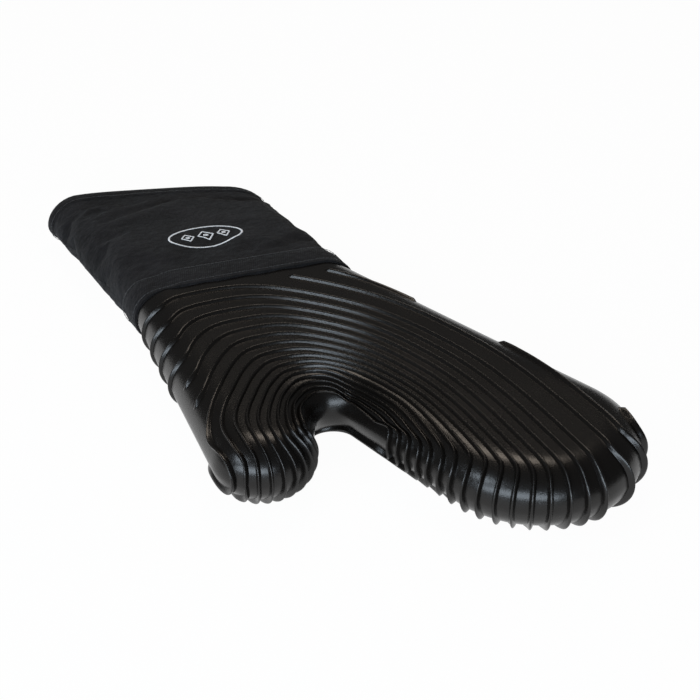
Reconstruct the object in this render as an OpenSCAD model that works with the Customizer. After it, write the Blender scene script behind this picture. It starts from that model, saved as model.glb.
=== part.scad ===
// Oven mitt: a ribbed one-piece silicone hand on a long fabric cuff, lined with
// quilted cotton. It lies palm down: +X runs from the cuff's mouth to the
// fingertips, +Z is up, and the thumb is on the -Y side.

/* [Overall] */
// Length from the cuff's mouth to the fingertips
mitt_l = 371; // [340:1:400]
// Thickness of the hand across the rib crests
mitt_t = 33; // [30:0.5:40]
// Distance from the mouth to the seam between cuff and silicone
cuff_l = 151; // [120:1:180]

/* [Hand outline] */
// Radius of the round fingertip end, half the width of the finger pocket
finger_r = 46.5; // [42:0.5:52]
// How far the fingertip's centre lies to the +Y side of the cuff's middle
finger_y = 55; // [45:1:60]
// Radius of the thumb's round tip
thumb_r = 21.5; // [19:0.5:25]
// Distance of the thumb tip's centre back from the fingertips
thumb_back = 93; // [85:1:105]
// Distance of the thumb tip's centre to the -Y side of the cuff's middle
thumb_y = 49; // [46:1:58]
// Radius of the crotch between thumb and fingers
crotch_r = 8.5; // [6:0.5:9]
// Distance of the crotch's centre back from the fingertips
crotch_back = 99; // [96:1:110]
// Distance of the crotch's centre to the -Y side of the cuff's middle
crotch_y = 12; // [8:1:16]
// How far in from the outline the hand's surface turns flat
edge_a = 18; // [14:0.5:20]

/* [Cuff] */
// Half width of the cuff at the silicone seam
joint_w = 57; // [52:0.5:62]
// Half width of the cuff at its mouth
mouth_w = 62.5; // [56:0.5:68]
// Thickness of the mouth at the thumb side
mouth_near_t = 23; // [20:0.5:32]
// Thickness of the mouth at the little-finger side
mouth_far_t = 15; // [14:0.5:26]
// How far the mouth's corners draw back towards the hand
mouth_bow = 12; // [0:1:20]
// How far the silicone seam and the mouth lean, in mm along X per mm across
joint_lean = 0.11; // [0:0.01:0.2]
// Width of the doubled hem band at the silicone seam
hem_l = 20; // [10:1:30]
// Width of the binding round the mouth
binding_l = 9; // [6:0.5:14]

/* [Layers] */
// Wall of the silicone
silicone_t = 2.2; // [1.6:0.1:3]
// Length of the flange inside the cuff
flange_l = 14; // [8:1:20]
// Thickness of the cuff's outer fabric
fabric_t = 1; // [0.6:0.1:1.4]
// Thickness of the wadding
wadding_t = 2.5; // [1.5:0.1:3]
// Thickness of the cotton lining
lining_t = 0.8; // [0.5:0.1:1.2]
// Clearance between neighbouring layers
gap = 0.3; // [0.2:0.05:0.4]

/* [Ribs] */
// Height of a rib above the silicone
rib_h = 1.5; // [1:0.1:2]
// Width of the outer ribs
rib_w = 2.4; // [1.6:0.1:3]
// Width of the rib next to the crotch
rib_w_inner = 1.3; // [1:0.1:1.8]
// Number of ribs from the crotch out to the one that meets the cuff
rib_n = 16; // [10:1:18]
// Growth of the spacing from one rib to the next
rib_growth = 1.1; // [1.02:0.01:1.15]
// Number of ribs beyond it, towards the little-finger edge
rib_far_n = 3; // [0:1:3]
// Spacing of those, as a share of the whole inner family's depth
rib_far_step = 0.185; // [0.15:0.005:0.25]
// Distance from the crotch to the first rib
rib_margin = 5.3; // [4.5:0.1:6]

/* [Hidden] */

// Radial positions of the layers, measured inwards from the smooth outer face
wadding_in = silicone_t + gap;
lining_in = wadding_in + wadding_t + gap;
flange_in = fabric_t + gap / 2;
cuff_wadding_in = fabric_t + gap;
cuff_lining_in = cuff_wadding_in + wadding_t + gap;
binding_in = cuff_lining_in + lining_t + gap / 2;

// Heights of the smooth face, below and above
base_z = rib_h;
hand_b = mitt_t / 2 - rib_h;

// Centres of the three arcs of the outline
tip = [mitt_l - rib_h - finger_r, finger_y];
thumb = [mitt_l - thumb_back, -thumb_y];
crotch = [mitt_l - crotch_back, -crotch_y];

// Rows of the rounded edge: angles up from its widest line
edge_rows = [0, 32, 61, 90];
full_rows = [-90, -61, -32, 0, 32, 61, 90];
// Places between the two rounded edges of the cuff
flat_rows = [-0.45, 0.45];

// Where the silicone seam runs at a distance y from the middle
function joint_x(y) = cuff_l + joint_lean * y;
// Where the mouth runs
function mouth_x(y) = mouth_set + joint_lean * y + mouth_bow * pow(abs(y) / mouth_w, 4);
// The mouth reaches furthest back at this distance from the middle, on the thumb side
mouth_y = flat_rows[1] * (mouth_w - edge_a);
mouth_set = joint_lean * mouth_y - mouth_bow * pow(mouth_y / mouth_w, 4);
// A place between them: station 0 is the mouth, station 1 the seam
function cuff_x(s, y) = lerp(mouth_x(y), joint_x(y), s);

function lerp(a, b, t) = a + (b - a) * t;
function polar(c, r, a) = c + r * [cos(a), sin(a)];

// ---- outline of the hand ----
// Normal angle of the tangent between two round corners; a hollow one has a negative radius
function tangent(c1, r1, c2, r2) =
    let (d = c2 - c1) atan2(d.y, d.x) - acos((r1 - r2) / norm(d));
function corner(c, r, a0, a1, n) = [for (i = [0:n]) let (a = lerp(a0, a1, i / n)) [polar(c, r, a), a]];

near_end = [joint_x(-joint_w), -joint_w];
far_end = [joint_x(joint_w), joint_w];
a_near = tangent(near_end, 0, thumb, thumb_r);
a_inner = tangent(thumb, thumb_r, crotch, -crotch_r);
a_finger = tangent(crotch, -crotch_r, tip, finger_r);
a_back = tangent(tip, finger_r, far_end, 0);
a_far = a_back < a_finger ? a_back + 360 : a_back;
// List of [point, normal angle] from the seam round thumb and fingers and back to the seam
function outline(n_thumb, n_crotch, n_tip) = concat(
    [[near_end, a_near]],
    corner(thumb, thumb_r, a_near, a_inner, n_thumb),
    corner(crotch, -crotch_r, a_inner, a_finger, n_crotch),
    corner(tip, finger_r, a_finger, a_far, n_tip),
    [[far_end, a_far]]);

// One row of the hand's surface: t inwards from the smooth face, at angle b of the edge.
// It starts past the seam by start, or reaches back into the cuff to the station tail_s
function hand_row(o, t, b, start, tail_s, lift) =
    let (in = t + (edge_a - t) * (1 - cos(b)),
         z = base_z + hand_b + (hand_b - t) * sin(b) + lift,
         y = joint_w - in)
    [if (tail_s < 1) [cuff_x(tail_s, -y), -y, z],
     [joint_x(-y) + start, -y, z],
     for (i = [1:len(o) - 2]) let (p = o[i][0] - in * [cos(o[i][1]), sin(o[i][1])]) [p.x, p.y, z],
     [joint_x(y) + start, y, z],
     if (tail_s < 1) [cuff_x(tail_s, y), y, z]];

// ---- solids from rows of points ----
function flat(l) = [for (a = l) for (b = a) b];
function ring_quads(a, b) = [for (i = [0:len(a) - 1]) let (j = (i + 1) % len(a)) each
    [[a[i], b[i], b[j]], [a[i], b[j], a[j]]]];
function strip(a, b) = [for (i = [0:len(a) - 2]) each
    [[a[i], b[i], b[i + 1]], [a[i], b[i + 1], a[i + 1]]]];
function reversed(l) = [for (i = [len(l) - 1:-1:0]) l[i]];
function turned(f) = [for (t = f) reversed(t)];
function shifted(f, k) = [for (t = f) [for (i = t) i + k]];

// A closed bag of the hand's form, t inwards from the smooth face
module hand_core(o, t, start = 0, tail_s = 1) {
    rows = [for (b = full_rows) hand_row(o, t, b, start, tail_s, 0)];
    n = len(rows[0]);
    m = len(rows);
    side = [for (j = [0:m - 2]) each strip([for (i = [0:n - 1]) j * n + i], [for (i = [0:n - 1]) (j + 1) * n + i])];
    end = concat([for (j = [0:m - 1]) j * n], [for (j = [m - 1:-1:0]) j * n + n - 1]);
    polyhedron(flat(rows), concat(side, [reversed(end)],
        [[for (i = [0:n - 1]) i]], [[for (i = [n - 1:-1:0]) (m - 1) * n + i]]));
}

// Half of a layer of the hand, between t0 and t1: up = 1 for the back, -1 for the palm
module hand_half(o, t0, t1, up) {
    n = len(o);
    m = len(edge_rows);
    function skin(t) = flat([for (b = edge_rows) hand_row(o, t, up * b, gap, 1, b == 0 ? up * gap / 2 : 0)]);
    side = concat(
        [for (j = [0:m - 2]) each strip([for (i = [0:n - 1]) j * n + i], [for (i = [0:n - 1]) (j + 1) * n + i])],
        [[for (i = [n - 1:-1:0]) (m - 1) * n + i]]);
    loop = concat([for (i = [0:n - 1]) i], [for (j = [1:m - 1]) j * n + n - 1], [for (j = [m - 1:-1:1]) j * n]);
    faces = concat(side, shifted(turned(side), n * m), ring_quads([for (i = loop) i + n * m], loop));
    polyhedron(concat(skin(t0), skin(t1)), up > 0 ? faces : turned(faces));
}

// ---- the cuff ----
// Stations run from 0 at the mouth to 1 at the silicone seam; the flange begins at flange_s
flange_s = 1 - flange_l / cuff_l;
hem_s = 1 - hem_l / cuff_l;
binding_s = binding_l / cuff_l;
stations = [0, binding_s, lerp(binding_s, hem_s, 1 / 3), lerp(binding_s, hem_s, 2 / 3), hem_s, flange_s];
// Thickness of the cuff at station s and side k (0 thumb side, 1 far side)
function cuff_t(s, k) = lerp(lerp(mouth_near_t, mouth_far_t, k), 2 * hand_b, min(1, s / flange_s));
// A point of the cuff's section: side -1 or +1, angle b round the edge
function cuff_point(s, side, b, t, dx) =
    let (w = lerp(mouth_w, joint_w, s),
         y = side * (w - t - (edge_a - t) * (1 - cos(b))),
         h = cuff_t(s, (1 + side) / 2) / 2)
    [cuff_x(s, y) + dx, y, base_z + h + (h - t) * sin(b)];
// A point of its flat part, at v from -1 to 1 across
function flat_point(s, v, t, dx, up) =
    let (y = v * (lerp(mouth_w, joint_w, s) - edge_a), h = cuff_t(s, (1 + v) / 2) / 2)
    [cuff_x(s, y) + dx, y, base_z + h + up * (h - t)];
function arch(s, t, dx, up, lift) = concat(
    [for (b = edge_rows) cuff_point(s, -1, up * b, t, dx) + [0, 0, b == 0 ? lift : 0]],
    [for (v = flat_rows) flat_point(s, v, t, dx, up)],
    [for (b = reversed(edge_rows)) cuff_point(s, 1, up * b, t, dx) + [0, 0, b == 0 ? lift : 0]]);
function hoop(s, t, dx) = let (under = arch(s, t, dx, -1, 0), n = len(under))
    concat(arch(s, t, dx, 1, 0), [for (i = [n - 2:-1:1]) under[i]]);

// Half of a layer of the cuff along a list of [station, offset along X]
module cuff_half(run, t0, t1, up) {
    n = 2 * len(edge_rows) + len(flat_rows);
    m = len(run);
    function skin(t) = flat([for (r = run) arch(r[0], t, r[1], up, up * gap / 2)]);
    side = [for (j = [0:m - 2]) each strip([for (i = [0:n - 1]) j * n + i], [for (i = [0:n - 1]) (j + 1) * n + i])];
    loop = concat([for (i = [0:n - 1]) i], [for (j = [1:m - 1]) j * n + n - 1],
        [for (i = [n - 2:-1:0]) (m - 1) * n + i], [for (j = [m - 2:-1:1]) j * n]);
    faces = concat(side, shifted(turned(side), n * m), ring_quads([for (i = loop) i + n * m], loop));
    polyhedron(concat(skin(t0), skin(t1)), up > 0 ? turned(faces) : faces);
}

// A tube all the way round: profile is a closed list of [station, depth, offset along X]
module cuff_ring(profile) {
    rings = [for (p = profile) hoop(p[0], p[1], p[2])];
    n = len(rings[0]);
    m = len(rings);
    polyhedron(flat(rings), [for (j = [0:m - 1]) each
        ring_quads([for (i = [0:n - 1]) ((j + 1) % m) * n + i], [for (i = [0:n - 1]) j * n + i])]);
}

// ---- the ribs ----
// Depth of rib k in the family: 0 next to the crotch, 1 where it meets the cuff
function rib_depth(k) = k < rib_n ? (pow(rib_growth, k) - 1) / (pow(rib_growth, rib_n - 1) - 1)
    : 1 + rib_far_step * (k - rib_n + 1);
guide_r = crotch_r + rib_margin;
// The rib line nearest the crotch, and the one nearest the cuff; the rest lie between
inner_guide = [thumb + [31, 13], thumb + [11, 19],
    for (p = [[0, -1.04], [-0.74, -0.63], [-1, -0.11], [-0.81, 0.41], [-0.3, 0.7], [0.52, 0.78], [1.4, 0.74]])
        crotch + guide_r * p,
    crotch + [37, 6], crotch + [43, 5]];
outer_guide = [thumb + [13, -77], thumb + [-42, -61],
    [cuff_l + 45, -joint_w - 23], [cuff_l + 13, -joint_w + 2], [cuff_l + 6, -joint_w + 26],
    [cuff_l + 16, joint_w - 54], [cuff_l + 57, joint_w - 19], [cuff_l + 108, joint_w - 1],
    tip + [-14, 6], tip + [68, 2], tip + [96, 0]];
function smooth(p, i, t) = let (n = len(p) - 1, a = p[max(0, i - 1)], b = p[i], c = p[i + 1], d = p[min(n, i + 2)])
    0.5 * (2 * b + (c - a) * t + (2 * a - 5 * b + 4 * c - d) * t * t + (3 * b - a - 3 * c + d) * t * t * t);
rib_steps = 2;
function rib_line(w) = let (g = [for (i = [0:len(inner_guide) - 1]) lerp(inner_guide[i], outer_guide[i], w)])
    [for (i = [0:len(g) - 2]) for (j = [0:rib_steps - 1]) smooth(g, i, j / rib_steps), g[len(g) - 1]];

// Unit vector across a line of points at point i
function across(l, i) = let (d = l[min(i + 1, len(l) - 1)] - l[max(i - 1, 0)]) [-d.y, d.x] / norm(d);
// One rib as a ribbon of upright walls, as deep as the whole hand
module rib(k) {
    w = rib_depth(k);
    line = rib_line(w);
    half = lerp(rib_w_inner, rib_w, min(1, 2.5 * w)) / 2;
    translate([0, 0, -1]) linear_extrude(mitt_t + 2) for (i = [0:len(line) - 2]) hull() polygon([
        for (j = [i, i + 1]) each [line[j] + half * across(line, j), line[j] - half * across(line, j)]]);
}

// ---- the pieces ----
// The inner layers use every second point of the round tips
hand_fine = outline(12, 7, 14);
hand_coarse = outline(6, 7, 7);

module silicone_shell() color([0.10, 0.10, 0.11]) {
    difference() {
        union() {
            hand_core(hand_fine, 0);
            hand_core(hand_fine, flange_in, 0, flange_s);
            intersection() {
                hand_core(hand_fine, -rib_h, rib_h);
                for (k = [0:rib_n + rib_far_n - 1]) rib(k);
            }
        }
        hand_core(hand_fine, silicone_t, 0, 2 * flange_s - 1);
    }
}
module back_wadding() color([0.75, 0.74, 0.70])
    hand_half(hand_coarse, wadding_in, wadding_in + wadding_t, 1);
module palm_wadding() color([0.68, 0.67, 0.63])
    hand_half(hand_coarse, wadding_in, wadding_in + wadding_t, -1);
module back_lining() color([0.30, 0.30, 0.33])
    hand_half(hand_coarse, lining_in, lining_in + lining_t, 1);
module palm_lining() color([0.26, 0.26, 0.29])
    hand_half(hand_coarse, lining_in, lining_in + lining_t, -1);
panel_run = [for (k = stations) [k, 0], [1, -gap]];
wadding_run = [for (k = stations) [k, k == 0 ? gap : k == flange_s ? -gap : 0]];
module cuff_back_panel() color([0.12, 0.11, 0.13]) cuff_half(panel_run, 0, fabric_t, 1);
module cuff_palm_panel() color([0.14, 0.13, 0.15]) cuff_half(panel_run, 0, fabric_t, -1);
module cuff_back_wadding() color([0.78, 0.77, 0.73])
    cuff_half(wadding_run, cuff_wadding_in, cuff_wadding_in + wadding_t, 1);
module cuff_palm_wadding() color([0.70, 0.69, 0.65])
    cuff_half(wadding_run, cuff_wadding_in, cuff_wadding_in + wadding_t, -1);
module cuff_back_lining() color([0.32, 0.32, 0.35])
    cuff_half(panel_run, cuff_lining_in, cuff_lining_in + lining_t, 1);
module cuff_palm_lining() color([0.28, 0.28, 0.31])
    cuff_half(panel_run, cuff_lining_in, cuff_lining_in + lining_t, -1);
module hem_band() color([0.18, 0.17, 0.19]) {
    out = -fabric_t - gap / 2;
    cuff_ring([[hem_s, out, 0], [flange_s, out, 0], [1, out, -gap],
        [1, -gap / 2, -gap], [flange_s, -gap / 2, 0], [hem_s, -gap / 2, 0]]);
}
module mouth_binding() color([0.20, 0.19, 0.21]) {
    out = -fabric_t - gap / 2;
    in = binding_in + lining_t;
    front = -fabric_t - gap;
    cuff_ring([[0, out, front], [binding_s, out, 0], [binding_s, -gap / 2, 0], [0, -gap / 2, -gap],
        [0, binding_in, -gap], [binding_s, binding_in, 0], [binding_s, in, 0], [0, in, front]]);
}

// The origin is under the middle of the mitt's box
module placed() translate([-(mitt_l - fabric_t - gap) / 2, -(finger_y + finger_r - thumb_y - thumb_r) / 2, 0]) children();

placed() silicone_shell();
placed() back_wadding();
placed() palm_wadding();
placed() back_lining();
placed() palm_lining();
placed() cuff_back_panel();
placed() cuff_palm_panel();
placed() cuff_back_wadding();
placed() cuff_palm_wadding();
placed() cuff_back_lining();
placed() cuff_palm_lining();
placed() hem_band();
placed() mouth_binding();
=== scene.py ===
"""A long oven mitt: a ribbed silicone hand with a padded twill cuff sewn over its open end.

The drawing is in millimetres, with X from the cuff's mouth towards the fingertips; placed()
turns its points into metres in the model's frame.
"""

import math

import bpy
import numpy as np
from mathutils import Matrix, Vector
from mathutils.bvhtree import BVHTree
from mathutils.geometry import delaunay_2d_cdt


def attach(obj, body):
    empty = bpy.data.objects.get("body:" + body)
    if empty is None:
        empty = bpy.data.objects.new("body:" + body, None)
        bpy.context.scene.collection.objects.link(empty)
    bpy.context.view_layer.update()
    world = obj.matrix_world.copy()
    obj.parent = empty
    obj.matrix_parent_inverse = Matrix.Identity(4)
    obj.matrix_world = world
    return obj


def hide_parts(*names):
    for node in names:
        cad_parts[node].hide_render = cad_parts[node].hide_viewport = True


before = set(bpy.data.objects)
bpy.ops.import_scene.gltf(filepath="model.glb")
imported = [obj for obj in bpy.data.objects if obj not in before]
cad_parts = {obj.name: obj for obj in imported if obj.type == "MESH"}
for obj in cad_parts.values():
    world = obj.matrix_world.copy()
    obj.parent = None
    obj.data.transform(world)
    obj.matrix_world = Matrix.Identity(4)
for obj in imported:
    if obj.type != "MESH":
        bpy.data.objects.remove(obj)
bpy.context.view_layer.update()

# ---- sizes of the mitt, in mm ----
MITT_L, MITT_T, CUFF_L = 371.0, 33.0, 151.0
FINGER_R, FINGER_Y = 46.5, 55.0
THUMB_R, THUMB_BACK, THUMB_Y = 21.5, 93.0, 49.0
CROTCH_R, CROTCH_BACK, CROTCH_Y = 8.5, 99.0, 12.0
EDGE_A = 18.0
JOINT_W, JOINT_LEAN = 57.0, 0.11
MOUTH_W, MOUTH_BOW, MOUTH_NEAR_T, MOUTH_FAR_T = 62.5, 12.0, 23.0, 15.0
HEM_L, BINDING_L, FLANGE_L = 20.0, 9.0, 14.0
SILICONE_T, FABRIC_T, WADDING_T, LINING_T, GAP = 2.2, 1.0, 2.5, 0.8, 0.3
RIB_H, RIB_N, RIB_GROWTH = 1.5, 16, 1.1
RIB_FAR_N, RIB_FAR_STEP, RIB_MARGIN = 3, 0.185, 5.3
# Half widths of a rib's foot next to the crotch and far from it, and how soon it reaches the second
RIB_REACH_INNER, RIB_REACH, RIB_SPREAD = 0.85, 1.35, 1.6
# How much higher a rib stands round the front edge, and how far behind the thumb that starts and is full
RIB_EDGE_H, FRONT_FROM, FRONT_TO = 1.0, 22.0, 8.0
# Ribs that fade out on the thumb's outer side, over these depths in from the edge
FADING_RIBS, FADE_DEPTHS = (10, 11), (1.5, 5)
# Ribs that start short of the seam
RIB_LEAD = {16: 8.0, 17: 8.0}
# The last ribs slip over the little-finger side: one where it comes this near the edge, and the
# other is seen only on the fingertip, from this distance along the mitt
SLIP_RIB, SLIP_DEPTH = 17, 7.0
TIP_RIB, TIP_RIB_X = 18, 331.0
# A rib's free end rises from this share of its height, over this stretch
END_SHARE, END_RISE = 0.15, (-0.2, 2.2)
# Where ribs meet the edge, as distances round it. On the thumb side: the first rib and the spacing,
# and the same for the fading ribs. On the finger side: first, spacing and growth of the spacing, for
# the ribs that go right round and for the ones beyond
NEAR_END, NEAR_STEP = 207.0, 5.2
FADE_END, FADE_STEP = 112.0, 16.9
FAR_END, FAR_STEP, FAR_GROWTH = 274.0, 5.8, 0.075
BEYOND_END, BEYOND_STEP, BEYOND_GROWTH = 394.0, 18.6, -2.4
# This far from its end a rib turns square to the edge. The last rib over the thumb's outer corner
# turns sooner, and runs straight for its end instead
RIB_TURN, SLANT_RIB, SLANT_TURN = 11.0, 9, 20.0
# Distance between the points of a swept rib, and of the line it is first drawn with
RIB_STEP, LINE_STEP = 1.1, 0.25
# Height and half width of the line where the mould parts
PARTING_H, PARTING_W = 0.25, 0.5
# How far each layer lies inside the hand's or the cuff's outer face
FLANGE_IN, WADDING_IN, LINING_IN = 1.15, 2.5, 5.3
CUFF_WADDING_IN, CUFF_LINING_IN = 1.3, 4.1
# The hem's free edge is tucked in by this much over this share of its width
HEM_TUCK, HEM_TUCK_SHARE = 0.75, 0.35
# The binding's tuck, how far it rolls forward at the mouth, and its thickness there
BINDING_TUCK, BINDING_ROLL, BINDING_T = 0.7, 1.6, 0.9
# The cuff's stitches: length, spacing, and distance of each row from the hem's or the binding's edge
STITCH_L, STITCH_PITCH = 2.3, 2.9
HEM_ROW, SEAM_ROW, MOUTH_ROW = 2.2, 2.6, 1.8
# A height above all of the cuff, from which the motif is dropped on its cloth
ABOVE_CUFF = 60.0
# The motif: its centre, the oval's half sizes, and the place and scale of each lozenge
MOTIF_AT = (95.0, 0.0)
MOTIF_OVAL, MOTIF_LOZENGES = (12.6, 20.3), ((-10.2, 0.8), (0, 1.0), (10.2, 0.8))
# Sizes of the twill's weave, in metres, and how much the weft leans
CORD_PITCH, PICK_PITCH, PICK_LEAN = 0.0011, 0.0007, 0.35
# Most that the padding moves the cuff's cloth, and the creases of its back: two ends, half width, depth
CUFF_SWELL = 2.2
CUFF_CREASES = (((48, -40), (27, 4), 4.0, 2.2), ((53, -30), (35, 12), 7.0, -0.9),
                ((108, -44), (141, -41), 6.0, 1.8), ((21, -52), (13, -20), 6.0, 1.0),
                ((87, 26), (119, 40), 9.0, 0.8), ((67, -8), (61, 30), 12.0, 0.6))
# Meshes of the hand: step round the outline, spacing across the faces, and rows round the edge. The
# layers inside it end at this station of the cuff, where 1 is the seam
SHELL_MESH, LAYER_MESH, LAYER_S = (1.6, 2.6, 11), (4, 6, 6), 1.004
# Sizes of the cut maps, in metres: round half the cuff, across a folded strip, and round the whole cuff
HALF_ROUND, STRIP_W, WHOLE_ROUND = 0.15, 0.02, 0.29
# Frames that the cuff's cloth takes to settle
CLOTH_FRAMES = 20
# Steps of the cuff's grid: round each edge, across each face, and along
ARC_N, FLAT_N, STATION_N = 9, 26, 54
HALF_HOOP = 2 * ARC_N + FLAT_N

HALF_T = MITT_T / 2 - RIB_H
MIDDLE_Z = MITT_T / 2
TIP = np.array([MITT_L - RIB_H - FINGER_R, FINGER_Y])
THUMB = np.array([MITT_L - THUMB_BACK, -THUMB_Y])
CROTCH = np.array([MITT_L - CROTCH_BACK, -CROTCH_Y])
HEM_S, FLANGE_S, BINDING_S = 1 - HEM_L / CUFF_L, 1 - FLANGE_L / CUFF_L, BINDING_L / CUFF_L
MOUTH_Y = 0.45 * (MOUTH_W - EDGE_A)
MOUTH_SET = JOINT_LEAN * MOUTH_Y - MOUTH_BOW * (MOUTH_Y / MOUTH_W) ** 4
ORIGIN = np.array([(MITT_L - FABRIC_T - GAP) / 2, (FINGER_Y + FINGER_R - THUMB_Y - THUMB_R) / 2, 0])


def placed(points):
    return (np.asarray(points, float) - ORIGIN) * 0.001


def joint_x(y):
    return CUFF_L + JOINT_LEAN * y


def mouth_x(y):
    return MOUTH_SET + JOINT_LEAN * y + MOUTH_BOW * (np.abs(y) / MOUTH_W) ** 4


def cuff_x(s, y):
    return mouth_x(y) + (joint_x(y) - mouth_x(y)) * s


def smooth_step(low, high, value):
    t = np.clip((value - low) / (high - low), 0, 1)
    return t * t * (3 - 2 * t)


def unit_rows(vectors):
    return vectors / np.linalg.norm(vectors, axis=1)[:, None]


def ahead_of(line):
    """The way on from each point of a closed line."""
    return np.roll(line, -1, 0) - np.roll(line, 1, 0)


# ---- meshes ----
def piece_from(name, points, faces, finish, sharp=None):
    """A smooth-shaded piece, facing outwards, from points in mm."""
    mesh = bpy.data.meshes.new(name)
    whole = [tuple(int(i) for i in f) for f in faces]
    mesh.from_pydata([tuple(p) for p in placed(points)], [], whole)
    mesh.validate()
    piece = bpy.data.objects.new(name, mesh)
    bpy.context.scene.collection.objects.link(piece)
    mesh.shade_smooth()
    if sharp:
        mesh.set_sharp_from_angle(angle=math.radians(sharp))
    if finish:
        mesh.materials.append(finish)
    return piece


def modified(piece, **kinds):
    """The piece with its modifiers applied."""
    for kind, settings in kinds.items():
        modifier = piece.modifiers.new(kind, kind)
        for key, value in settings.items():
            setattr(modifier, key, value)
    view = bpy.context.evaluated_depsgraph_get()
    mesh = bpy.data.meshes.new_from_object(piece.evaluated_get(view), depsgraph=view)
    piece.modifiers.clear()
    piece.data = mesh
    return piece


def faces_out(points, faces):
    """The faces, turned over if the closed shape they make is inside out."""
    p = np.asarray(points)
    volume = sum(np.dot(p[f[0]], np.cross(p[f[i]], p[f[i + 1]]))
                 for f in faces for i in range(1, len(f) - 1))
    return [tuple(reversed(f)) for f in faces] if volume < 0 else faces


def ring_faces(rows, columns, around=False):
    """Faces between closed rows of points, and from the last row to the first if around."""
    faces = []
    for i in range(rows if around else rows - 1):
        a, b = i * columns, (i + 1) % rows * columns
        faces += [(a + j, a + (j + 1) % columns, b + (j + 1) % columns, b + j) for j in range(columns)]
    return faces


def wall(outer, inner):
    """Points and faces of a layer between two grids of points, closed at its rims."""
    rows, columns = outer.shape[:2]
    points = np.concatenate([outer.reshape(-1, 3), inner.reshape(-1, 3)])
    under = rows * columns
    faces = []
    for i in range(rows - 1):
        for j in range(columns - 1):
            a = i * columns + j
            b, c, d = a + 1, a + columns, a + columns + 1
            faces += [(a, b, d, c), (a + under, c + under, d + under, b + under)]
    for i, turn in ((0, 1), (rows - 1, -1)):
        for j in range(columns - 1):
            a = i * columns + j
            faces.append((a, a + under, a + 1 + under, a + 1)[::turn])
    for j, turn in ((0, -1), (columns - 1, 1)):
        for i in range(rows - 1):
            a = i * columns + j
            b = a + columns
            faces.append((a, a + under, b + under, b)[::turn])
    return points, faces_out(points, faces)


# ---- node trees ----
class Signal:
    """A socket's value, on which arithmetic adds the nodes for it."""

    def __init__(self, graph, socket):
        self.graph, self.socket = graph, socket

    def math(self, operation, *values, clamp=False):
        settings = {"operation": operation, "use_clamp": clamp}
        return self.graph.node("ShaderNodeMath", settings, dict(enumerate(values)))

    def __add__(self, other):
        return self.math("ADD", self, other)

    def __sub__(self, other):
        return self.math("SUBTRACT", self, other)

    def __rsub__(self, other):
        return self.math("SUBTRACT", other, self)

    def __mul__(self, other):
        return self.math("MULTIPLY", self, other)

    def __pow__(self, other):
        return self.math("POWER", self, other)

    def clamped(self):
        return self.math("ADD", self, 0.0, clamp=True)

    __radd__, __rmul__ = __add__, __mul__


class Graph:
    """A node tree, to which node() adds one node at a time."""

    def __init__(self, tree):
        self.tree = tree

    def node(self, kind, settings=None, sockets=None, out=0):
        made = self.tree.nodes.new(kind)
        for key, value in (settings or {}).items():
            setattr(made, key, value)
        for key, value in (sockets or {}).items():
            if isinstance(value, Signal):
                self.tree.links.new(value.socket, made.inputs[key])
            else:
                made.inputs[key].default_value = value
        return Signal(self, made.outputs[out]) if made.outputs else made

    def output(self, signal, out):
        """Another output of the node that a signal comes from."""
        return Signal(self, signal.socket.node.outputs[out])


class Finish(Graph):
    """A material with a Principled shader and object coordinates."""

    def __init__(self, name, **constants):
        self.material = bpy.data.materials.new(name)
        self.material.use_nodes = True
        super().__init__(self.material.node_tree)
        self.shader = self.tree.nodes["Principled BSDF"]
        for key, value in constants.items():
            self.shader.inputs[key.replace("_", " ")].default_value = value
        self.place = self.output(self.node("ShaderNodeTexCoord"), "Object")

    def noise(self, scale, detail=2.0, roughness=0.5):
        sockets = {"Vector": self.place, "Scale": scale, "Detail": detail, "Roughness": roughness}
        return self.node("ShaderNodeTexNoise", {"noise_dimensions": "3D"}, sockets)

    def blend(self, factor, one, other):
        """A colour between two colours."""
        made = self.tree.nodes.new("ShaderNodeMix")
        made.data_type = "RGBA"
        for key, value in (("Factor_Float", factor), ("A_Color", one), ("B_Color", other)):
            socket = next(s for s in made.inputs if s.identifier == key)
            if isinstance(value, Signal):
                self.tree.links.new(value.socket, socket)
            else:
                socket.default_value = (*value, 1) if hasattr(value, "__len__") else value
        return Signal(self, next(s for s in made.outputs if s.identifier == "Result_Color"))

    def surface(self, colour=None, roughness=None, relief=None, depth=0.001):
        for key, signal in (("Base Color", colour), ("Roughness", roughness)):
            if signal is not None:
                self.tree.links.new(signal.socket, self.shader.inputs[key])
        if relief is not None:
            bump = self.node("ShaderNodeBump", {}, {"Height": relief, "Distance": depth, "Strength": 1.0})
            self.tree.links.new(bump.socket, self.shader.inputs["Normal"])
        return self.material


def silicone_finish():
    f = Finish("black_silicone", IOR=1.42)
    cloud, grain, fine = f.noise(28, 3), f.noise(700, 2), f.noise(2600, 1)
    colour = f.blend(cloud, (0.0030, 0.0024, 0.0020), (0.0056, 0.0046, 0.0039))
    return f.surface(colour, 0.21 + cloud * 0.07 + grain * 0.05, grain * 0.6 + fine * 0.4, 0.00007)


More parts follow.
